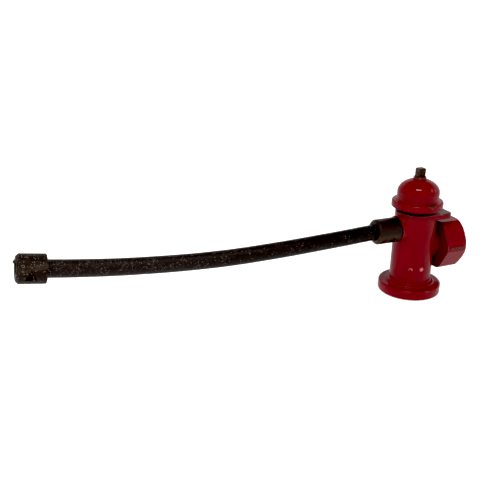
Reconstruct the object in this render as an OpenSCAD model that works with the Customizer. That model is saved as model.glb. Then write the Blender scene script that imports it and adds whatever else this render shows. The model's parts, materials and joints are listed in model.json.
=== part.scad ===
// Toy fire hydrant with a valve, a swivel hose inlet and a stub of stiff rubber hose.
// Millimetres, +Z up. The origin is the centre of the foot's underside.
// The inlet points along +X and the outlet, with the hose, along -X.

/* [Casting] */
// Outer diameter of the barrel
barrel_d = 30; // [29.6:0.2:30.4]
// Height of the casting's flat top
barrel_top = 61.9; // [61.7:0.1:62.2]
// Diameter of the foot flange
foot_d = 45.4; // [42:0.2:50]
// Thickness of the foot flange
foot_t = 7.2; // [6.8:0.1:8]
// How far the tongue over the inlet nut reaches from the barrel's axis
tongue_l = 21; // [20:0.1:24]

/* [Bonnet] */
// Diameter of the rim flange
rim_d = 36.4; // [34:0.2:38]
// Thickness of the rim flange
rim_t = 5.3; // [5:0.1:5.6]
// Diameter of the dome
dome_d = 29.7; // [28:0.1:31]

/* [Valve stem] */
// Width of the square head across its flats
stem_square = 5.2; // [4.8:0.1:5.2]
// Height of the top of the stem
stem_top = 93.1; // [92:0.1:96]

/* [Inlet] */
// Height of the inlet's axis
inlet_z = 35.4; // [35:0.1:35.6]
// Width of the swivel nut across its flats
nut_af = 35.7; // [34:0.1:37]
// Length of the swivel nut
nut_l = 17.3; // [16:0.1:20]
// Diameter of the nut's threaded bore
thread_d = 26.4; // [26:0.1:27.2]

/* [Outlet and hose] */
// Height of the outlet's axis
outlet_z = 49.3; // [49.2:0.1:49.4]
// Diameter of both hose ferrules
ferrule_d = 18.2; // [17.5:0.1:18.6]
// Length of the ferrule at the outlet
near_ferrule_l = 18.5; // [17.5:0.1:19.5]
// Length of the ferrule at the free end
end_ferrule_l = 17.3; // [16.8:0.1:18.5]
// Outer diameter of the hose
hose_d = 11.4; // [10.8:0.1:11.4]

/* [Hidden] */
$fn = 96;
eps = 0.01;
barrel_r = barrel_d / 2;
foot_r = foot_d / 2;
edge_r = 1.2;
shoulder_r = barrel_r + 2.4;
shoulder_top = foot_t + 1.6;

lower_bore_r = 8;
plug_r = 9;
plug_t = 5.6;
gasket_t = 1.0;
web_bottom = 41;
web_top = 44;
seat_r = 6;
orifice_r = 3.5;
seat_top = web_top + 0.75;
upper_bore_r = 10;
spigot_r = 11;
spigot_bottom = 55.5;
spigot_fit = 0.05;

tongue_bottom = barrel_top - 3.9;
tongue_corner_r = 4;

bonnet_gasket_t = 0.9;
neck_r = 12.2;
rim_r = rim_d / 2;
rim_bottom = barrel_top + 3.1;
rim_top = rim_bottom + rim_t;
dome_r = dome_d / 2;
dome_wall_top = rim_top + 5.5;
dome_top = dome_wall_top + 9.9;

guide_w = 11.2;
guide_top = 70;
shelf_top = 75.9;
gland_bore_r = 5.25;
thrust_washer_t = 0.9;
collar_bottom = shelf_top + thrust_washer_t + 0.1;
collar_top = collar_bottom + 2;
packing_bottom = collar_top + 0.1;
packing_top = packing_bottom + 3;
gland_shoulder = dome_top - 0.4;
gland_top = dome_top + 1.5;
gland_collar_r = 4.5;

thread_r = 3;
thread_fit = 0.06;
shank_r = 3.8;
shank_fit = 0.05;
stem_bottom = 56.5;
head_bottom = gland_top + 0.3;
head_chamfer = 0.8;

valve_plug_w = 11;
valve_plug_top = 62;
valve_plug_shoulder = 52;
disc_r = 6.5;
disc_top = 50;
disc_bottom = 47;
valve_washer_r = 5.8;
valve_washer_bottom = seat_top + 0.05;
screw_r = 1.25;
screw_head_r = 2.4;
screw_head_t = 1.4;

inlet_boss_r = 10.5;
inlet_boss_x = 16.2;
tail_r = 6.5;
tail_bore_r = 5;
tail_start = 8.6;
neck_fit = 0.06;
tail_neck_r = 8;
nut_x = inlet_boss_x + 0.2;
nut_wall = 3.1;
nut_end = nut_x + nut_l;
nut_corner_r = 19.8;
nut_face_r = 18.3;
flange_x = nut_x + nut_wall + 0.1;
flange_t = 2;
flange_r = 12.8;
inlet_washer_t = 2.8;
inlet_washer_bore_r = 7.5;
relief_r = 13.6;
thread_start = flange_x + flange_t + inlet_washer_t;
mouth_chamfer = 0.6;

outlet_boss_r = 9.9;
outlet_boss_x = 16.2;
counterbore_r = ferrule_d / 2 + 0.05;
counterbore_x = 15;
outlet_gasket_t = 1;
ferrule_x = counterbore_x + outlet_gasket_t;
ferrule_r = ferrule_d / 2;
ferrule_chamfer = 1.6;
ferrule_bore_r = hose_d / 2 + 0.05;
nipple_r = 5.5;
nipple_bore_r = 2.4;
nipple_start = 10.5;
barb_root_r = 3.2;
barb_tip_r = 3.7;
barb_pitch = 4;
barb_count = 3;
hose_r = hose_d / 2;
hose_sides = 12;

insert_r = 3.1;
insert_l = 14;
seal_bore_r = 3.6;
lip_l = 1.4;
lip_height = 2.1;
lip_bore_r = 4.4;
stake_w = 6.4;
stake_h = 7.4;
stake_depth = 1.5;

// The hose's centre line, from the nipple's shoulder to the end seal.
route = [
    [-17, 0, 49.3], [-36, 0, 49.3], [-60, 0.4, 47.9], [-80, 1.2, 46.7], [-100, 2.2, 45.5],
    [-120, 3.4, 44.5], [-140, 4.6, 43.9], [-160, 5.6, 44], [-180, 6.4, 44.8], [-200, 6.8, 46.2],
    [-220, 6.8, 48.2], [-240, 6.1, 51], [-256.6, 4.9, 53.9], [-265, 4.3, 55.4]
];
hose_exit = route[len(route) - 2];
hose_end = route[len(route) - 1];
end_step = hose_end - hose_exit;
end_yaw = atan2(-end_step.y, -end_step.x);
end_tilt = atan2(end_step.z, norm([end_step.x, end_step.y]));
seal_start = norm(end_step);

// Points of an arc about c, from angle a0 to a1.
function arc(c, r, a0, a1, n = 6) =
    [for (i = [0:n]) c + r * [cos(a0 + (a1 - a0) * i / n), sin(a0 + (a1 - a0) * i / n)]];

// Direction of the route at point i.
function heading(i) =
    let (step = route[min(i + 1, len(route) - 1)] - route[max(i - 1, 0)])
    step / norm(step);

// Ring of points round the hose's centre line at point i.
function hose_ring(i) =
    let (forward = heading(i))
    let (side = cross(forward, [0, 0, 1]) / norm(cross(forward, [0, 0, 1])))
    let (up = cross(side, forward))
    [for (k = [0:hose_sides - 1])
        let (a = 360 * k / hose_sides)
        route[i] + hose_r * (side * cos(a) + up * sin(a))];

// Turned shape about the Z axis, from radius bore to r, between two heights.
module ring(r, bore, z0, z1) {
    translate([0, 0, z0]) difference() {
        cylinder(r = r, h = z1 - z0);
        translate([0, 0, -1]) cylinder(r = bore, h = z1 - z0 + 2);
    }
}

// Lays a shape drawn along +Z onto the inlet's axis, which points along +X.
module on_inlet() {
    translate([0, 0, inlet_z]) rotate([0, 90, 0]) children();
}

// Lays a shape drawn along +Z onto the outlet's axis, which points along -X.
module on_outlet() {
    translate([0, 0, outlet_z]) rotate([0, -90, 0]) children();
}

// Lays a shape drawn along +Z onto the hose's free end, from the end ferrule's inner face.
module on_hose_end() {
    translate(hose_exit) rotate([0, 0, end_yaw]) rotate([0, end_tilt, 0]) rotate([0, -90, 0]) children();
}

module foot_and_barrel() {
    rotate_extrude() polygon(concat(
        [[0, 0]],
        arc([foot_r - edge_r / 2, edge_r / 2], edge_r / 2, -90, 0, 3),
        arc([foot_r - edge_r, foot_t - edge_r], edge_r, 0, 90, 5),
        [[shoulder_r + 0.5, foot_t]],
        arc([shoulder_r - 0.5, shoulder_top - 0.5], 0.5, 0, 90, 4),
        arc([barrel_r + 0.9, shoulder_top + 0.9], 0.9, 270, 180, 4),
        [[barrel_r, barrel_top - 0.4], [barrel_r - 0.4, barrel_top], [0, barrel_top]]
    ));
}

module tongue() {
    corner_x = tongue_l - tongue_corner_r;
    corner_y = barrel_r - tongue_corner_r;
    translate([0, 0, tongue_bottom]) linear_extrude(barrel_top - tongue_bottom) {
        translate([0, -barrel_r]) square([corner_x, barrel_d]);
        translate([0, -corner_y]) square([tongue_l, 2 * corner_y]);
        for (side = [-1, 1]) translate([corner_x, side * corner_y]) circle(tongue_corner_r);
    }
}

module hydrant_body() {
    color("firebrick") difference() {
        union() {
            foot_and_barrel();
            tongue();
            on_inlet() cylinder(r = inlet_boss_r, h = inlet_boss_x);
            on_outlet() cylinder(r = outlet_boss_r, h = outlet_boss_x);
        }
        translate([0, 0, -1]) cylinder(r = plug_r, h = 1 + plug_t + gasket_t);
        cylinder(r = lower_bore_r, h = web_bottom);
        cylinder(r = seat_r, h = barrel_top);
        translate([0, 0, web_top]) cylinder(r = upper_bore_r, h = barrel_top);
        translate([0, 0, spigot_bottom]) cylinder(r = spigot_r, h = barrel_top);
        on_inlet() cylinder(r = tail_bore_r, h = inlet_boss_x);
        on_inlet() translate([0, 0, tail_start]) cylinder(r = tail_r, h = inlet_boss_x);
        on_outlet() translate([0, 0, upper_bore_r / 2]) cylinder(r = nipple_r, h = outlet_boss_x);
        on_outlet() translate([0, 0, counterbore_x]) cylinder(r = counterbore_r, h = outlet_boss_x);
    }
}

module bottom_plug() {
    color("firebrick") difference() {
        cylinder(r = plug_r, h = plug_t);
        for (side = [-1, 1]) translate([0, side * plug_r * 0.6, -1]) cylinder(r = 1.2, h = 4);
    }
}

module bottom_gasket() {
    color("dimgray") ring(plug_r, lower_bore_r - 1, plug_t, plug_t + gasket_t);
}

module valve_seat() {
    color("goldenrod") {
        ring(seat_r, orifice_r, web_bottom, web_top);
        ring(orifice_r + 1.1, orifice_r, web_top - eps, seat_top);
    }
}

module bonnet_gasket() {
    color("black") ring(neck_r - 0.1, spigot_r, barrel_top, barrel_top + bonnet_gasket_t);
}

module bonnet_outside() {
    rotate_extrude() polygon(concat(
        [[0, spigot_bottom], [spigot_r - spigot_fit, spigot_bottom]],
        [[spigot_r - spigot_fit, barrel_top + bonnet_gasket_t]],
        [[neck_r, barrel_top + bonnet_gasket_t], [neck_r, rim_bottom]],
        arc([rim_r - 0.5, rim_bottom + 0.5], 0.5, -90, 0, 4),
        arc([rim_r - 1.6, rim_top - 1.6], 1.6, 0, 90, 6),
        [[dome_r + 0.6, rim_top], [dome_r, rim_top + 0.6]],
        [for (a = [0:7.5:90]) [dome_r * cos(a), dome_wall_top + (dome_top - dome_wall_top) * sin(a)]]
    ));
}

module bonnet() {
    color("firebrick") difference() {
        bonnet_outside();
        translate([-guide_w / 2, -guide_w / 2, 0]) cube([guide_w, guide_w, guide_top]);
        cylinder(r = thread_r + thread_fit, h = dome_top + 1);
        translate([0, 0, shelf_top]) cylinder(r = gland_bore_r, h = dome_top);
    }
}

module thrust_washer() {
    color("goldenrod") ring(gland_bore_r, thread_r + thread_fit, shelf_top, shelf_top + thrust_washer_t);
}

module stem_packing() {
    color("black") ring(gland_bore_r, shank_r + shank_fit, packing_bottom, packing_top);
}

module gland_nut() {
    color("firebrick") difference() {
        rotate_extrude() polygon([
            [0, packing_top], [gland_bore_r, packing_top], [gland_bore_r, gland_shoulder],
            [gland_collar_r, gland_shoulder + 0.5], [gland_collar_r, gland_top - 0.4],
            [gland_collar_r - 0.4, gland_top], [0, gland_top]
        ]);
        cylinder(r = shank_r + shank_fit, h = gland_top + 1);
    }
}

module stem_head() {
    head_l = stem_top - head_bottom;
    translate([0, 0, head_bottom - eps]) intersection() {
        translate([-stem_square / 2, -stem_square / 2, 0]) cube([stem_square, stem_square, head_l + eps]);
        rotate_extrude() polygon([
            [0, -1], [shank_r + 1, -1], [shank_r + 1, head_l - 2 * head_chamfer],
            [shank_r + 1 - 3 * head_chamfer, head_l + head_chamfer], [0, head_l + head_chamfer]
        ]);
    }
}

module valve_stem() {
    color("darkgoldenrod") {
        translate([0, 0, stem_bottom]) cylinder(r = thread_r, h = collar_bottom - stem_bottom + eps);
        translate([0, 0, collar_bottom]) cylinder(r = gland_bore_r - 0.1, h = collar_top - collar_bottom);
        translate([0, 0, collar_top - eps]) cylinder(r = shank_r, h = head_bottom - collar_top + eps);
        stem_head();
    }
}

module valve_plug() {
    color("goldenrod") difference() {
        union() {
            translate([-valve_plug_w / 2, -valve_plug_w / 2, valve_plug_shoulder])
                cube([valve_plug_w, valve_plug_w, valve_plug_top - valve_plug_shoulder]);
            translate([0, 0, disc_top - eps]) cylinder(r = 4.5, h = valve_plug_shoulder - disc_top + 2 * eps);
            translate([0, 0, disc_bottom]) cylinder(r = disc_r, h = disc_top - disc_bottom);
        }
        translate([0, 0, valve_plug_shoulder - 0.5]) cylinder(r = thread_r + thread_fit, h = valve_plug_top);
        cylinder(r = screw_r, h = disc_top);
    }
}

module valve_washer() {
    color("black") ring(valve_washer_r, screw_r, valve_washer_bottom, disc_bottom);
}

module washer_screw() {
    color("goldenrod") difference() {
        union() {
            translate([0, 0, valve_washer_bottom - screw_head_t]) cylinder(r = screw_head_r, h = screw_head_t);
            translate([0, 0, valve_washer_bottom - eps]) cylinder(r = screw_r, h = disc_top - valve_washer_bottom);
        }
        translate([-screw_head_r, -0.3, valve_washer_bottom - screw_head_t - 1])
            cube([2 * screw_head_r, 0.6, 1.6]);
    }
}

module inlet_tailpiece() {
    color("goldenrod") on_inlet() difference() {
        union() {
            translate([0, 0, tail_start]) cylinder(r = tail_r, h = inlet_boss_x - tail_start + eps);
            translate([0, 0, inlet_boss_x]) cylinder(r = tail_neck_r, h = flange_x - inlet_boss_x + eps);
            translate([0, 0, flange_x]) cylinder(r = flange_r, h = flange_t);
        }
        cylinder(r = tail_bore_r, h = nut_end);
    }
}

module inlet_washer() {
    color("black") on_inlet()
        ring(flange_r, inlet_washer_bore_r, flange_x + flange_t, thread_start);
}

module inlet_nut() {
    color("firebrick") on_inlet() difference() {
        intersection() {
            translate([0, 0, nut_x]) rotate([0, 0, 30]) cylinder(r = nut_af / sqrt(3), h = nut_l, $fn = 6);
            rotate_extrude() polygon([
                [0, nut_x], [nut_corner_r - 0.8, nut_x], [nut_corner_r, nut_x + 0.8],
                [nut_corner_r, nut_end - 1.6], [nut_face_r, nut_end - 0.3],
                [nut_face_r - 0.6, nut_end], [0, nut_end]
            ]);
        }
        cylinder(r = tail_neck_r + neck_fit, h = nut_end);
        translate([0, 0, nut_x + nut_wall]) cylinder(r = relief_r, h = thread_start - nut_x - nut_wall);
        translate([0, 0, thread_start - eps]) cylinder(r = thread_d / 2, h = nut_l);
        translate([0, 0, nut_end - mouth_chamfer])
            cylinder(r1 = thread_d / 2, r2 = thread_d / 2 + 2 * mouth_chamfer, h = 2 * mouth_chamfer);
    }
}

module outlet_gasket() {
    color("dimgray") on_outlet() ring(counterbore_r, nipple_r, counterbore_x, ferrule_x);
}

module outlet_nipple() {
    shoulder = -route[0].x;
    color("goldenrod") on_outlet() difference() {
        union() {
            translate([0, 0, nipple_start]) cylinder(r = nipple_r, h = shoulder - nipple_start);
            translate([0, 0, shoulder - eps]) cylinder(r = barb_root_r, h = barb_count * barb_pitch);
            for (i = [1:barb_count]) translate([0, 0, shoulder + i * barb_pitch - 2])
                cylinder(r1 = barb_tip_r, r2 = barb_root_r, h = 2);
        }
        cylinder(r = nipple_bore_r, h = shoulder + barb_count * barb_pitch + 1);
    }
}

// Sleeve round a hose end, chamfered at its far end.
module ferrule(length) {
    difference() {
        rotate_extrude() polygon([
            [0, 0], [ferrule_r - 0.3, 0], [ferrule_r, 0.3], [ferrule_r, length - ferrule_chamfer],
            [ferrule_r - ferrule_chamfer, length], [0, length]
        ]);
        translate([0, 0, -1]) cylinder(r = ferrule_bore_r, h = length + 2);
    }
}

// Triangular punch mark that locks a ferrule on its hose, level with the -Y side and point up.
// It is deepest along its base.
module stake_cut() {
    mouth = ferrule_r + 1;
    floor_top = sqrt(ferrule_r ^ 2 - (stake_h / 2) ^ 2);
    floor_base = floor_top - stake_depth;
    intersection() {
        rotate([90, 0, 0]) linear_extrude(mouth)
            polygon([[stake_h / 2, 0], [-stake_h / 2, stake_w / 2], [-stake_h / 2, -stake_w / 2]]);
        linear_extrude(2 * stake_w, center = true) polygon([
            [stake_h / 2, -floor_top], [-stake_h / 2 - eps, -floor_base],
            [-stake_h / 2 - eps, -mouth], [stake_h / 2, -mouth]
        ]);
    }
}

module outlet_ferrule() {
    color("#2c221a") on_outlet() translate([0, 0, ferrule_x]) difference() {
        ferrule(near_ferrule_l);
        rotate([0, 0, -34]) translate([0, 0, 6.6]) stake_cut();
    }
}

module fire_hose() {
    rings = len(route);
    color("#171412") polyhedron(
        points = [for (i = [0:rings - 1]) each hose_ring(i)],
        faces = concat(
            [[for (k = [0:hose_sides - 1]) k]],
            [[for (k = [hose_sides - 1:-1:0]) (rings - 1) * hose_sides + k]],
            [for (i = [0:rings - 2], k = [0:hose_sides - 1])
                let (a = i * hose_sides + k, b = i * hose_sides + (k + 1) % hose_sides)
                [a, a + hose_sides, b]],
            [for (i = [0:rings - 2], k = [0:hose_sides - 1])
                let (a = i * hose_sides + k, b = i * hose_sides + (k + 1) % hose_sides)
                [b, a + hose_sides, b + hose_sides]]
        )
    );
}

module end_insert() {
    color("goldenrod") on_hose_end() ring(insert_r, nipple_bore_r, seal_start - insert_l, seal_start);
}

module end_ferrule() {
    color("#3b3129") on_hose_end() difference() {
        ferrule(end_ferrule_l);
        rotate([0, 0, -3]) translate([0, 0, 9.2]) stake_cut();
    }
}

module end_seal() {
    color("#171412") on_hose_end() {
        ring(hose_r, seal_bore_r, seal_start, end_ferrule_l);
        intersection() {
            ring(hose_r - 0.4, lip_bore_r, end_ferrule_l - eps, end_ferrule_l + lip_l);
            translate([lip_height, -hose_r, 0]) cube([hose_r, 2 * hose_r, 2 * end_ferrule_l]);
        }
    }
}

hydrant_body();
bottom_plug();
bottom_gasket();
valve_seat();
bonnet_gasket();
bonnet();
thrust_washer();
stem_packing();
gland_nut();
valve_stem();
valve_plug();
valve_washer();
washer_screw();
inlet_tailpiece();
inlet_washer();
inlet_nut();
outlet_gasket();
outlet_nipple();
outlet_ferrule();
fire_hose();
end_insert();
end_ferrule();
end_seal();
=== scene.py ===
import json
import math

import bmesh
import bpy
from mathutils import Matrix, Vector, noise


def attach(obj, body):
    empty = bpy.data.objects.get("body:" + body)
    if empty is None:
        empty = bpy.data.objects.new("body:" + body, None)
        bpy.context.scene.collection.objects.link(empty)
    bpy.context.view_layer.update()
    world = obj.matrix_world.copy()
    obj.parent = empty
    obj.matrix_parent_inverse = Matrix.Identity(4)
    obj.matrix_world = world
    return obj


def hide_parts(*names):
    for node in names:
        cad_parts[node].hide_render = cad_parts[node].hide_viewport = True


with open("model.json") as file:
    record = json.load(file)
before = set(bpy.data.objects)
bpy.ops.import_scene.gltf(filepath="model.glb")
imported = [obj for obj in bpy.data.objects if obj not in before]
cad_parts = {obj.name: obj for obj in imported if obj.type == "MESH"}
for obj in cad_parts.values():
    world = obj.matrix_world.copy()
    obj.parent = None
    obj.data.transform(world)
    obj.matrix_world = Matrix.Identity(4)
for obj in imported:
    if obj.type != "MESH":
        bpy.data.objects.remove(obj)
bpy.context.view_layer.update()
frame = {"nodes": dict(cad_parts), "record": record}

MM = 0.001
BLACK_LEVEL = 0.021
nodes = frame["nodes"]


def metres(point):
    return Vector(point) * MM


# ---------------------------------------------------------------- places, in millimetres

AXIS_INLET_Z = 35.4
AXIS_OUTLET_Z = 49.3
NUT_X = (16.4, 33.7)
THREAD_X = (25.0, 32.6)
THREAD_R = 13.2
THREAD_PITCH = 2.2
THREAD_DEPTH = 0.8
OUTLET_BOSS_R = 9.7
OUTLET_BOSS_X = -16
END_FERRULE_L = 17.3
HOSE_R = 5.7
SEAL_R = 5.5
SEAL_BORE_R = 3.6
LIP_R = (4.45, 5.25)
LIP_L = 1.6
BARREL_R = 15
BODY_TOP = 61.9
TONGUE_BOTTOM = 58
RIM_BOTTOM = 65.0
RIM_TOP = 70.3
RIM_R = 18.2
FOOT_R = 22.7
FOOT_TOP = 7.2
SHOULDER_R = 17.2
SHOULDER_TOP = 8.7
DOME_CROWN_Z = 85
GLAND_TOP = 87.2
NUT_CORNER_R = 19.3
NUT_MOUTH_R = 13.8

# The hose's centre line, as in the part's source.
ROUTE = [
    (-17, 0, 49.3), (-36, 0, 49.3), (-60, 0.4, 47.9), (-80, 1.2, 46.7), (-100, 2.2, 45.5),
    (-120, 3.4, 44.5), (-140, 4.6, 43.9), (-160, 5.6, 44), (-180, 6.4, 44.8), (-200, 6.8, 46.2),
    (-220, 6.8, 48.2), (-240, 6.1, 51), (-256.6, 4.9, 53.9), (-265, 4.3, 55.4),
]
HOSE_EXIT = Vector(ROUTE[-2])
END_FORWARD = (Vector(ROUTE[-1]) - HOSE_EXIT).normalized()
END_SIDE = Vector((0, 0, 1)).cross(END_FORWARD).normalized()
END_UP = END_FORWARD.cross(END_SIDE)
SEAL_START = (Vector(ROUTE[-1]) - HOSE_EXIT).length


def at_end(forward, side, up):
    """Point by the hose's free end: forward from the ferrule's inner face, sideways and up."""
    return HOSE_EXIT + END_FORWARD * forward + END_SIDE * side + END_UP * up


def make_camera():
    """The photo's camera, and plain colours with the darkest tones cut to black."""
    data = bpy.data.cameras.new("camera")
    data.sensor_width = 36
    data.lens = 43.2
    camera = bpy.data.objects.new("camera", data)
    camera.location = (-0.2602, -0.3433, 0.1967)
    camera.rotation_euler = (math.radians(68.15), 0, math.radians(-20.93))
    bpy.context.collection.objects.link(camera)
    bpy.context.scene.camera = camera
    view = bpy.context.scene.view_settings
    view.view_transform = "Standard"
    view.use_curve_mapping = True
    view.curve_mapping.black_level = (BLACK_LEVEL, BLACK_LEVEL, BLACK_LEVEL)
    view.curve_mapping.update()


# ---------------------------------------------------------------- shader fields


class Field:
    """A number that varies over a surface, worked out by shader nodes."""

    def __init__(self, tree, socket):
        self.tree = tree
        self.socket = socket

    def math(self, operation, *others):
        node = self.tree.nodes.new("ShaderNodeMath")
        node.operation = operation
        for slot, value in zip(node.inputs, (self, *others)):
            if isinstance(value, Field):
                self.tree.links.new(value.socket, slot)
            else:
                slot.default_value = value
        return Field(self.tree, node.outputs[0])

    def __add__(self, other):
        return self.math("ADD", other)

    def __sub__(self, other):
        return self.math("SUBTRACT", other)

    def __mul__(self, other):
        return self.math("MULTIPLY", other)

    def most(self, other):
        return self.math("MAXIMUM", other)

    def size(self):
        return self.math("ABSOLUTE")

    def root(self):
        return self.math("SQRT")

    def rise(self, low, high):
        """0 below low, 1 above high, smooth between. It falls instead where low is above high."""
        node = self.tree.nodes.new("ShaderNodeMapRange")
        node.interpolation_type = "SMOOTHSTEP"
        self.tree.links.new(self.socket, node.inputs["Value"])
        node.inputs["From Min"].default_value = min(low, high)
        node.inputs["From Max"].default_value = max(low, high)
        node.inputs["To Min"].default_value = float(low > high)
        node.inputs["To Max"].default_value = float(low < high)
        return Field(self.tree, node.outputs["Result"])


def distance(a, b):
    """Length of the vector with components a and b, both fields."""
    return (a * a + b * b).root()


class Paint:
    """A material in the making, with the point on the object in millimetres at hand."""

    def __init__(self, name):
        self.material = bpy.data.materials.new(name)
        self.material.use_nodes = True
        self.tree = self.material.node_tree
        self.shader = self.tree.nodes["Principled BSDF"]
        coordinates = self.tree.nodes.new("ShaderNodeTexCoord")
        scale = self.tree.nodes.new("ShaderNodeVectorMath")
        scale.operation = "SCALE"
        scale.inputs["Scale"].default_value = 1 / MM
        self.tree.links.new(coordinates.outputs["Object"], scale.inputs[0])
        self.point = scale.outputs[0]
        split = self.tree.nodes.new("ShaderNodeSeparateXYZ")
        self.tree.links.new(self.point, split.inputs[0])
        self.x, self.y, self.z = (Field(self.tree, split.outputs[i]) for i in range(3))

    def noise(self, size, detail=3, roughness=0.5):
        """Cloudy noise from 0 to 1, with features of about that many millimetres."""
        node = self.tree.nodes.new("ShaderNodeTexNoise")
        node.inputs["Scale"].default_value = 1 / size
        node.inputs["Detail"].default_value = detail
        node.inputs["Roughness"].default_value = roughness
        self.tree.links.new(self.point, node.inputs["Vector"])
        return Field(self.tree, node.outputs["Fac"])

    def away(self, x, y, z):
        """Distance from a point."""
        return distance(distance(self.x - x, self.y - y), self.z - z)

    def specks(self, spacing):
        """(distance to the nearest speck's centre over the spacing, a random number for each speck)"""
        node = self.tree.nodes.new("ShaderNodeTexVoronoi")
        node.inputs["Scale"].default_value = 1 / spacing
        self.tree.links.new(self.point, node.inputs["Vector"])
        split = self.tree.nodes.new("ShaderNodeSeparateXYZ")
        self.tree.links.new(node.outputs["Color"], split.inputs[0])
        return Field(self.tree, node.outputs["Distance"]), Field(self.tree, split.outputs[0])

    def blend(self, factor, a, b):
        """Colour a where factor is 0 and b where it is 1. Each is (r, g, b) or a blend."""
        node = self.tree.nodes.new("ShaderNodeMix")
        node.data_type = "RGBA"
        self.tree.links.new(factor.socket, node.inputs[0])
        for slot, colour in ((node.inputs[6], a), (node.inputs[7], b)):
            if isinstance(colour, tuple):
                slot.default_value = (*colour, 1)
            else:
                self.tree.links.new(colour, slot)
        return node.outputs[2]

    def colour(self, value):
        if isinstance(value, tuple):
            self.shader.inputs["Base Color"].default_value = (*value, 1)
        else:
            self.tree.links.new(value, self.shader.inputs["Base Color"])

    def set(self, **sockets):
        """Sets shader sockets: coat_weight=0.3 is the socket "Coat Weight"."""
        for key, value in sockets.items():
            slot = self.shader.inputs[key.replace("_", " ").title().replace("Ior", "IOR")]
            if isinstance(value, Field):
                self.tree.links.new(value.socket, slot)
            else:
                slot.default_value = value

    def bump(self, *layers):
        """Each layer is (height field from 0 to 1, depth in millimetres)."""
        height = layers[0][0] * layers[0][1]
        for field, depth in layers[1:]:
            height = height + field * depth
        node = self.tree.nodes.new("ShaderNodeBump")
        node.inputs["Strength"].default_value = 1
        node.inputs["Distance"].default_value = MM
        self.tree.links.new(height.socket, node.inputs["Height"])
        self.tree.links.new(node.outputs["Normal"], self.shader.inputs["Normal"])


# ---------------------------------------------------------------- materials

RED = (0.128, 0.0012, 0.0055)
RED_DEEP = (0.112, 0.001, 0.0045)
RED_DUSTY = (0.13, 0.006, 0.011)
# Dark red for painted shade.
PAINTED_SHADE_RED = (0.085, 0.004, 0.007)
PRIMER = (0.16, 0.038, 0.036)
# Pale pink for the dome's scuffs and for painted highlights and painted light on the casting.
PALE_SCUFF_AND_HIGHLIGHT = (0.42, 0.13, 0.13)
BARE = (0.065, 0.028, 0.023)
BARE_DARK = (0.038, 0.012, 0.01)

# Each brass has a dark patina, a lighter one and the tone of its rubbed patches.
END_BRASS = ((0.011, 0.007, 0.006), (0.014, 0.0085, 0.006), (0.017, 0.0115, 0.0075))
NEAR_BRASS = ((0.015, 0.009, 0.0085), (0.018, 0.0095, 0.008), (0.037, 0.019, 0.009))
STEM_BRASS = ((0.014, 0.005, 0.002), (0.026, 0.011, 0.0045), (0.065, 0.038, 0.022))
INNER_BRASS = ((0.05, 0.025, 0.01), (0.09, 0.05, 0.02), (0.16, 0.1, 0.045))
DUST_BAND = (0.034, 0.023, 0.017)
DUST = (0.26, 0.21, 0.18)

RUBBER = ((0.004, 0.0025, 0.002), (0.007, 0.0048, 0.004))
# Lighter rubber for the painted light towards the hose's free end.
RUBBER_PAINTED_LIGHT = (0.013, 0.009, 0.008)
SPECKS = ((0.17, 0.14, 0.13), (0.1, 0.055, 0.04))
SEAL_RUBBER = (0.006, 0.006, 0.006)
FIBRE = (0.012, 0.007, 0.006)
PAPER = (0.8, 0.8, 0.8)


def enamel(name, worn, painted_shade=None, pale=None):
    """Glossy red enamel over grey metal.

    worn(paint) gives a field that is 1 where the paint is rubbed off. The other two fields, if given, are
    the same
    for painted shade and for pale marks: scuffs, painted highlights and painted light.
    """
    paint = Paint(name)
    broad = paint.noise(9, detail=4)
    fine = paint.noise(0.8, detail=4, roughness=0.65)
    edge = worn(paint) + fine * 0.5 + broad * 0.3
    chipped = edge.rise(0.98, 1.06)
    halo = edge.rise(0.84, 0.98)
    gap, pick = paint.specks(3.1)
    pinhole = gap.rise(0.1, 0.05) * pick.rise(0.8, 0.82)
    tone = paint.blend(broad.rise(0.35, 0.7), RED_DEEP, RED)
    dust_and_shade = paint.blend(paint.noise(3.5, detail=5).rise(0.58, 0.78) * 0.4, tone, RED_DUSTY)
    # The optional shade field darkens the red here: painted shade, over the dust.
    if painted_shade:
        dust_and_shade = paint.blend(painted_shade(paint) * (broad * 0.5 + 0.6), dust_and_shade, PAINTED_SHADE_RED)
    primer = paint.blend((halo * 0.6).most(pinhole * 0.7), dust_and_shade, PRIMER)
    metal = paint.blend(paint.noise(1.5, detail=4).rise(0.4, 0.62), BARE_DARK, BARE)
    surface = paint.blend(chipped, primer, metal)
    # Pale marks: scuffs on the dome, painted highlights and painted light on the casting.
    if pale:
        surface = paint.blend(pale(paint), surface, PALE_SCUFF_AND_HIGHLIGHT)
    paint.colour(surface)
    paint.set(
        metallic=chipped * 0.35,
        roughness=(fine * 0.1 + broad * 0.1 + 0.2).most(chipped * 0.5),
        specular_ior_level=0.02,
        coat_weight=0.21,
        coat_roughness=0.065,
    )
    paint.bump(
        (paint.noise(1.6, detail=2), 0.018),
        (paint.noise(0.35, detail=2), 0.006),
        (chipped, -0.06),
        (pinhole, -0.03),
    )
    return paint.material


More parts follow.
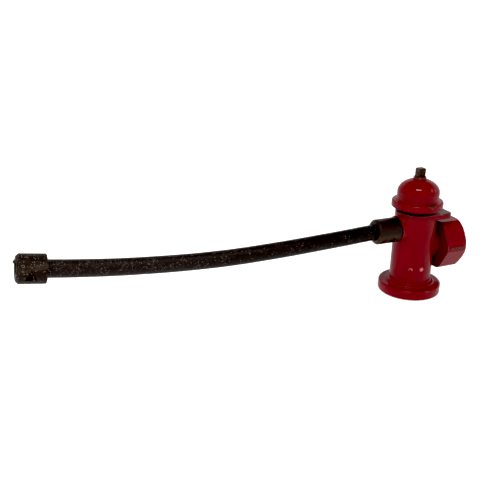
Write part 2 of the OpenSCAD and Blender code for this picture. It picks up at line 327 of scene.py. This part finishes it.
def casting_wear(paint):
    """The flat top is bare; the rims of the top, the outlet boss and the foot are rubbed."""
    around = distance(paint.x, paint.y)
    top = paint.z.rise(BODY_TOP - 0.7, BODY_TOP - 0.35)
    near = paint.y.rise(2, -4)
    outlet_off = distance(paint.y, paint.z - AXIS_OUTLET_Z)
    lip = distance(outlet_off - OUTLET_BOSS_R, paint.x - OUTLET_BOSS_X).rise(0.8, 0.15) * near
    foot_edge = distance(around - (FOOT_R - 0.4), paint.z - (FOOT_TOP - 0.4)).rise(1.0, 0.15)
    foot_chip = distance(paint.x * 0.28, paint.z - (FOOT_TOP - 0.5)).rise(1.4, 0.3) * near
    shoulder = distance(around - SHOULDER_R, paint.z - SHOULDER_TOP).rise(0.8, 0.1)
    lower_edge = distance(around - FOOT_R, paint.z - 0.4).rise(1.0, 0.1)
    rim = distance(around - (BARREL_R - 0.3), paint.z - (BODY_TOP - 0.3)).rise(0.9, 0.2)
    edges = (foot_edge * 0.42).most(lip * 0.5).most(shoulder * 0.4).most(lower_edge * 0.4).most(rim * 0.45)
    return (top * 1.2).most(edges).most(foot_chip * 0.62)


def casting_painted_shade(paint):
    """Painted shade on the barrel's side below the tongue, towards the nut; the tongue is darkened as well.
    """
    high = paint.z.rise(TONGUE_BOTTOM - 1.5, TONGUE_BOTTOM - 0.5)
    tongue = paint.x.rise(BARREL_R - 0.6, BARREL_R + 0.6) * high
    # Painted shade where the barrel faces the nut.
    back = paint.x.rise(BARREL_R - 2.4, BARREL_R - 0.4) * paint.z.rise(17, 24)
    return tongue.most(back * 0.8)


def casting_painted_highlights(paint):
    """Two painted highlights low on the barrel, one round and one hooked, and painted light on a pale ledge
    under the rim.
    """
    round_highlight = paint.away(-1.2, -14.9, 21.2)
    hook = (paint.away(-8.8, -12.2, 20.8) - 1.1).size().rise(0.75, 0.2) * paint.z.rise(20.2, 21)
    speckle = paint.noise(0.9, detail=3).rise(0.35, 0.6)
    # Painted light: the ledge under the rim is made pale as if lit.
    ledge = paint.z.rise(BODY_TOP - 0.5, BODY_TOP - 0.3) * paint.x.rise(13, 11) * paint.y.rise(2, 0)
    return (round_highlight.rise(1.7, 1.1) * 0.75).most(hook * speckle * 0.6).most(ledge * 0.4)


def bonnet_spots(paint):
    """Two small scuffs high on the dome's near side."""
    near = paint.y.rise(0, -6)
    first = distance(paint.x - 1.2, (paint.z - 80.2) * 0.7).rise(1.0, 0.4)
    second = distance(paint.x - 4.4, (paint.z - 79.6) * 0.5).rise(0.9, 0.3)
    return (first * 0.3).most(second * 0.22) * near * paint.noise(0.7, detail=3).rise(0.3, 0.55)


def nut_painted_shade(paint):
    """Painted shade on the face towards the barrel; the inside of the mouth, with the thread, is darker as
    well.
    """
    off = distance(paint.y, paint.z - AXIS_INLET_Z)
    # Painted shade on the face towards the barrel, and a darker mouth.
    return paint.x.rise(NUT_X[0] + 1.8, NUT_X[0] + 0.6).most(off.rise(NUT_MOUTH_R + 0.4, NUT_MOUTH_R - 0.2))


def bonnet_wear(paint):
    """Edges of the rim flange are rubbed, with one large chip."""
    around = distance(paint.x, paint.y)
    near = paint.y.rise(0, -6)
    upper = distance(around - (RIM_R - 0.4), paint.z - (RIM_TOP - 0.5)).rise(1.2, 0.2)
    lower = distance(around - RIM_R, paint.z - (RIM_BOTTOM + 0.3)).rise(0.9, 0.1)
    drop = (paint.z - RIM_TOP).size() * 1.5
    chip = ((paint.x + 0.3).size() + drop).rise(5.2, 3.2) * around.rise(16.2, 16.8) * near
    crown = distance(around - 5.2, paint.z - DOME_CROWN_Z).rise(1.2, 0.3)
    return (upper * 0.44).most(lower * 0.42).most(chip * 1.05).most(crown * 0.5)


def nut_wear(paint):
    """The near corner of the hexagon is rubbed along most of its length, and the end edges in places. The
    light line round the near end is rubbed paint and a painted highlight.
    """
    up = paint.z - AXIS_INLET_Z
    off = distance(paint.y, up)
    corner = off.rise(NUT_CORNER_R, NUT_CORNER_R + 0.4)
    rubbed = (up - 0.4).size().rise(1.3, 0.8) * paint.y.rise(-10, -14) * paint.x.rise(17.5, 20.5)
    # Rubbed edge of the near end, lightened also as a painted highlight.
    near_end_rub_and_highlight = distance(off - NUT_CORNER_R, paint.x - NUT_X[0] - 0.4).rise(0.9, 0.3)
    far_end = distance(off - (NUT_CORNER_R - 1.2), paint.x - NUT_X[1]).rise(1.0, 0.2)
    mouth = distance(off - NUT_MOUTH_R, paint.x - NUT_X[1]).rise(0.9, 0.2)
    ends = (near_end_rub_and_highlight * 0.52).most(far_end * 0.36).most(mouth * 0.75)
    return (corner * 0.34).most(rubbed * 0.72).most(ends)


def gland_wear(paint):
    """The top edge of the collar is rubbed."""
    return paint.z.rise(GLAND_TOP - 1.6, GLAND_TOP - 0.6) * 0.85


def plain_wear(paint):
    """Hardly any wear, and the same all over."""
    return paint.noise(4) * 0.2


def brass(name, tones, gold_share, axis_z=None, roughness=0.4):
    """Old brass. Below axis_z, if given, more of the dark patina gives way to gold and above it less: a
    painted reflection that keeps the upper side darker.
    """
    paint = Paint(name)
    broad = paint.noise(4, detail=5, roughness=0.6)
    fine = paint.noise(0.7, detail=4, roughness=0.7)
    rubbed = broad + gold_share
    # Painted reflection: the upper side darker, the lower side more golden.
    if axis_z is not None:
        rubbed = rubbed + (paint.z - axis_z).rise(2, -3) * 0.3 - 0.2
    patches = (rubbed + (fine - 0.5) * 0.4).rise(0.5, 0.66)
    dark, mid, gold = tones
    tone = paint.blend(patches, paint.blend(fine.rise(0.3, 0.7), dark, mid), gold)
    rough = fine * 0.2 + roughness
    layers = [(fine, 0.05), (paint.noise(2.2, detail=3), 0.07), (patches, -0.02)]
    return paint, tone, rough, layers


def finish_brass(paint, tone, rough, layers):
    paint.colour(tone)
    paint.set(metallic=0.45, roughness=rough, specular_ior_level=0.2)
    paint.bump(*layers)
    return paint.material


def dusty_brass(name, tones, gold_share, axis_z, roughness):
    """Old brass with pale dust, mostly on its upper side, and a lighter band along its upper shoulder."""
    paint, tone, rough, layers = brass(name, tones, gold_share, roughness=roughness)
    up = paint.z - axis_z
    gap, pick = paint.specks(0.8)
    dust = gap.rise(0.4, 0.18) * (pick + up.rise(-2, 7) * 0.25).rise(0.84, 0.86)
    band = (up - 3.6).size().rise(2.4, 0.6) * paint.noise(2.5, detail=4).rise(0.32, 0.55)
    tone = paint.blend(dust * 0.75, paint.blend(band * 0.85, tone, DUST_BAND), DUST)
    layers.append((dust, 0.03))
    return finish_brass(paint, tone, rough.most(dust * 0.8), layers)


def hose_rubber():
    """Black rubber with pale specks; towards the free end the rubber is lighter, as painted light, and the
    specks are denser.
    """
    paint = Paint("hose_rubber")
    along = paint.x.rise(-40, -235)
    mould = paint.noise(7, detail=4, roughness=0.6)
    grain = paint.noise(0.5, detail=3, roughness=0.7)
    gap, pick = paint.specks(0.95)
    small_gap, small_pick = paint.specks(0.55)
    cloud = paint.noise(6, detail=4).rise(0.36, 0.66)
    share = along * 0.2 + cloud * 0.26
    large = gap.rise(0.36, 0.16) * (pick + share).rise(1.06, 1.1)
    small = small_gap.rise(0.4, 0.2) * (small_pick + share).rise(1.02, 1.08)
    dust = large.most(small * 0.7)
    brown = paint.noise(1.3, detail=1).rise(0.4, 0.6)
    rubber = paint.blend(mould.rise(0.35, 0.7), *RUBBER)
    # Painted light: the rubber grows lighter towards the free end.
    rubber = paint.blend(along * 0.7, rubber, RUBBER_PAINTED_LIGHT)
    speck = paint.blend(brown, *SPECKS)
    paint.colour(paint.blend(dust * 0.8, rubber, speck))
    paint.set(roughness=(grain * 0.18 + mould * 0.15 + 0.3).most(dust * 0.8), specular_ior_level=0.12)
    paint.bump((grain, 0.025), (mould, 0.05), (dust, 0.035))
    return paint.material


def plain_rubber(name, colour):
    """Matt rubber or fibre, a little mottled."""
    paint = Paint(name)
    grain = paint.noise(0.6, detail=4, roughness=0.65)
    lighter = tuple(c * 2 for c in colour)
    paint.colour(paint.blend(grain.rise(0.35, 0.75), colour, lighter))
    paint.set(roughness=grain * 0.2 + 0.5, specular_ior_level=0.2)
    paint.bump((grain, 0.05))
    return paint.material


def paper():
    """The white paper that the object stands on."""
    paint = Paint("paper")
    paint.colour(PAPER)
    paint.set(roughness=0.8, specular_ior_level=0.1)
    paint.shader.inputs["Emission Color"].default_value = (1, 1, 1, 1)
    paint.shader.inputs["Emission Strength"].default_value = 0.62
    return paint.material


# ---------------------------------------------------------------- meshes


def link(name, mesh):
    piece = bpy.data.objects.new(name, mesh)
    bpy.context.collection.objects.link(piece)
    return piece


def applied(piece):
    """Turns the piece's modifiers into its mesh."""
    shown = piece.evaluated_get(bpy.context.evaluated_depsgraph_get())
    mesh = bpy.data.meshes.new_from_object(shown)
    piece.modifiers.clear()
    piece.data = mesh
    return piece


def finish_piece(piece, body, slot, material, *replaced):
    """Gives a piece its material and body, and hides the CAD nodes that it stands for. slot is not used."""
    piece.data.materials.clear()
    piece.data.materials.append(material)
    for polygon in piece.data.polygons:
        polygon.use_smooth = True
    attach(piece, body)
    if replaced:
        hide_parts(*replaced)
    return piece


def softened(node, name, voxel, passes):
    """Copy of a CAD node with its edges and corners rounded, as paint and wear leave them."""
    piece = link(name, nodes[node].data.copy())
    remesh = piece.modifiers.new("remesh", "REMESH")
    remesh.mode = "VOXEL"
    remesh.voxel_size = voxel * MM
    smooth = piece.modifiers.new("smooth", "SMOOTH")
    smooth.factor = 0.5
    smooth.iterations = passes
    return applied(piece)


def tube_mesh(name, rings, close=False, cap_end=True):
    """Skin over rings of points, all with the same number of points.

    close joins the last ring to the first. Otherwise both ends are capped, the last one only with cap_end.
    """
    build = bmesh.new()
    rows = [[build.verts.new(metres(p)) for p in ring] for ring in rings]
    count = len(rows[0])
    pairs = list(zip(rows, rows[1:] + rows[:1] if close else rows[1:]))
    for low, high in pairs:
        for k in range(count):
            build.faces.new((low[k], low[(k + 1) % count], high[(k + 1) % count], high[k]))
    if not close:
        build.faces.new(rows[0][::-1])
        if cap_end:
            build.faces.new(rows[-1])
    bmesh.ops.recalc_face_normals(build, faces=build.faces)
    mesh = bpy.data.meshes.new(name)
    build.to_mesh(mesh)
    build.free()
    return mesh


def smooth_route(step):
    """Points along a smooth curve through ROUTE, about step millimetres apart."""
    knots = [Vector(p) for p in ROUTE]
    ends = [knots[0] * 2 - knots[1]] + knots + [knots[-1] * 2 - knots[-2]]
    points = []
    for a, b, c, d in zip(ends, ends[1:], ends[2:], ends[3:]):
        count = max(1, round((c - b).length / step))
        for i in range(count):
            t = i / count
            points.append(
                0.5 * (2 * b + (c - a) * t + (2 * a - 5 * b + 4 * c - d) * t * t
                       + (3 * b - a - 3 * c + d) * t * t * t)
            )
    points.append(knots[-1])
    return points


def make_hose(material):
    """The hose, with a slightly uneven skin, and the points of its centre line."""
    step = 1.5
    sides = 48
    wobble = 0.06
    points = smooth_route(step)
    rings = []
    for i, point in enumerate(points):
        forward = (points[min(i + 1, len(points) - 1)] - points[max(i - 1, 0)]).normalized()
        side = forward.cross(Vector((0, 0, 1))).normalized()
        up = side.cross(forward)
        ring = []
        for k in range(sides):
            angle = math.tau * k / sides
            out = side * math.cos(angle) + up * math.sin(angle)
            seed = Vector((point.x * 0.09, math.cos(angle) * 0.8, math.sin(angle) * 0.8))
            radius = HOSE_R - wobble + wobble * noise.noise(seed)
            ring.append(point + out * radius)
        rings.append(ring)
    hose = link("hose", tube_mesh("hose", rings))
    finish_piece(hose, "hydrant", "hose_rubber", material, "fire_hose")
    return hose, points


def make_thread():
    """The nut's inner thread, as one ridge that winds from the washer to the mouth."""
    steps = 40
    fade = 8
    outer = THREAD_R + 0.1
    turns = (THREAD_X[1] - THREAD_X[0]) / THREAD_PITCH
    total = round(turns * steps)
    rings = []
    for i in range(total + 1):
        angle = math.tau * i / steps
        x = THREAD_X[0] + THREAD_PITCH * i / steps
        depth = THREAD_DEPTH * min(1, i / fade, (total - i) / fade) + 0.05
        profile = [(-0.85, outer), (-0.3, outer - depth), (0.3, outer - depth), (0.85, outer)]
        rings.append([
            (x + dx, r * math.cos(angle), AXIS_INLET_Z + r * math.sin(angle)) for dx, r in profile
        ])
    return link("nut_thread", tube_mesh("nut_thread", rings))


def make_seal():
    """The rubber rim at the free end, torn into a lip along its upper side."""
    sides = 96
    notch_angle = 5.55
    notch_half = 0.12
    start = SEAL_START + 0.1
    low, high = LIP_R
    rings = []
    for k in range(sides):
        angle = math.tau * k / sides
        side, up = math.sin(angle), math.cos(angle)
        rag = noise.noise(Vector((side * 3.1, up * 3.1, 4.2)))
        tear = max(0, min(1, (up * 5.2 - 1.6) * 2)) * (0.85 + 0.25 * rag)
        if abs(angle - notch_angle) < notch_half:
            tear *= 0.25
        top = END_FERRULE_L - 0.25 + 0.12 * rag
        tip = top + LIP_L * min(tear, 1)
        profile = [
            (start, SEAL_BORE_R), (top - 0.2, SEAL_BORE_R), (top, SEAL_BORE_R + 0.3), (top + 0.05, low),
            (tip - 0.05, low + 0.12), (tip, (low + high) / 2), (tip - 0.1, high - 0.1),
            (top - 0.02, high + 0.05), (top - 0.3, SEAL_R), (start, SEAL_R),
        ]
        rings.append([at_end(s, r * side, r * up) for s, r in profile])
    return link("seal", tube_mesh("seal", rings, close=True))


def make_cord():
    """The hose with the pieces on its free end. Returns the rubber's material."""
    rubber = hose_rubber()
    hose, path = make_hose(rubber)
    seal = finish_piece(make_seal(), "hydrant", "hose_rubber", rubber, "end_seal")
    sleeve_brass = dusty_brass("end_brass", END_BRASS, 0.02, HOSE_EXIT.z + 1, 0.5)
    sleeve = softened("end_ferrule", "end_sleeve", 0.22, 2)
    finish_piece(sleeve, "hydrant", "aged_brass", sleeve_brass, "end_ferrule")
    length = sum((b - a).length for a, b in zip(path, path[1:]))
    return rubber


def make_brass_pieces():
    """The outlet's sleeve, the stem and the valve plug. Returns the sleeve's and the plug's materials."""
    near_brass = finish_brass(*brass("near_brass", NEAR_BRASS, 0.04, axis_z=AXIS_OUTLET_Z, roughness=0.35))
    stem_brass = finish_brass(*brass("stem_brass", STEM_BRASS, -0.03))
    inner_brass = finish_brass(*brass("valve_brass", INNER_BRASS, 0.02))
    shapes = (
        ("outlet_ferrule", "near_sleeve", "hydrant", "aged_brass", near_brass, 0.22, 2),
        ("valve_stem", "stem_square", "stem", "valve_brass", stem_brass, 0.16, 2),
        ("valve_plug", "plug", "plug", "valve_brass", inner_brass, 0.25, 6),
    )
    for node, name, body, slot, material, voxel, passes in shapes:
        finish_piece(softened(node, name, voxel, passes), body, slot, material, node)
    return near_brass, inner_brass


def make_painted_pieces():
    shapes = (
        ("hydrant_body", "casting", "hydrant", 0.36, (casting_wear, casting_painted_shade, casting_painted_highlights)),
        ("bonnet", "dome", "hydrant", 0.3, (bonnet_wear, None, bonnet_spots)),
        ("inlet_nut", "nut", "swivel_nut", 0.3, (nut_wear, nut_painted_shade)),
        ("gland_nut", "gland", "hydrant", 0.16, (gland_wear,)),
    )
    for node, name, body, voxel, fields in shapes:
        piece = softened(node, name, voxel, 3)
        finish_piece(piece, body, "red_enamel", enamel(name + "_enamel", *fields), node)
        if name == "nut":
            finish_piece(make_thread(), body, "red_enamel", piece.data.materials[0])


def colour_nodes(rubber, aged_brass, inner_brass):
    """Gives each CAD node the material of its slot."""
    by_slot = {
        "red_enamel": enamel("plug_enamel", plain_wear),
        "valve_brass": inner_brass,
        "seal_rubber": plain_rubber("seal_rubber", SEAL_RUBBER),
        "fibre": plain_rubber("fibre", FIBRE),
        "aged_brass": aged_brass,
        "hose_rubber": rubber,
    }
    for part in frame["record"]["subparts"]:
        mesh = nodes[part["node"]].data
        mesh.materials.clear()
        mesh.materials.append(by_slot[part["material_slot"]])


def make_stage():
    """A round paper floor that curves up into a wall on all sides."""
    sides = 96
    below = 0.5
    outline = [
        (1, 0), (800, 0), (2500, 0), (3000, 60), (3400, 260), (3700, 600), (3900, 1100), (4000, 3200),
    ]
    angles = [math.tau * k / sides for k in range(sides)]
    rings = [[(r * math.cos(a), r * math.sin(a), z - below) for a in angles] for r, z in outline]
    floor = link("floor", tube_mesh("floor", rings, cap_end=False))
    floor.data.materials.append(paper())
    world = bpy.data.worlds.new("world")
    bpy.context.scene.world = world
    world.use_nodes = True
    background = world.node_tree.nodes["Background"]
    background.inputs["Color"].default_value = (1, 1, 1, 1)
    background.inputs["Strength"].default_value = 0.32


def add_light(name, place, target, size, watts):
    """A rectangular light, in metres, turned towards the target."""
    data = bpy.data.lights.new(name, "AREA")
    data.shape = "RECTANGLE"
    data.size, data.size_y = size
    data.energy = watts
    light = bpy.data.objects.new(name, data)
    light.location = place
    light.rotation_euler = (Vector(target) - Vector(place)).to_track_quat("-Z", "Y").to_euler()
    bpy.context.collection.objects.link(light)


make_camera()
hose_material = make_cord()
colour_nodes(hose_material, *make_brass_pieces())
make_painted_pieces()
make_stage()
add_light("key", (-0.27, -0.34, 0.9), (0, 0, 0.06), (0.36, 0.14), 7)
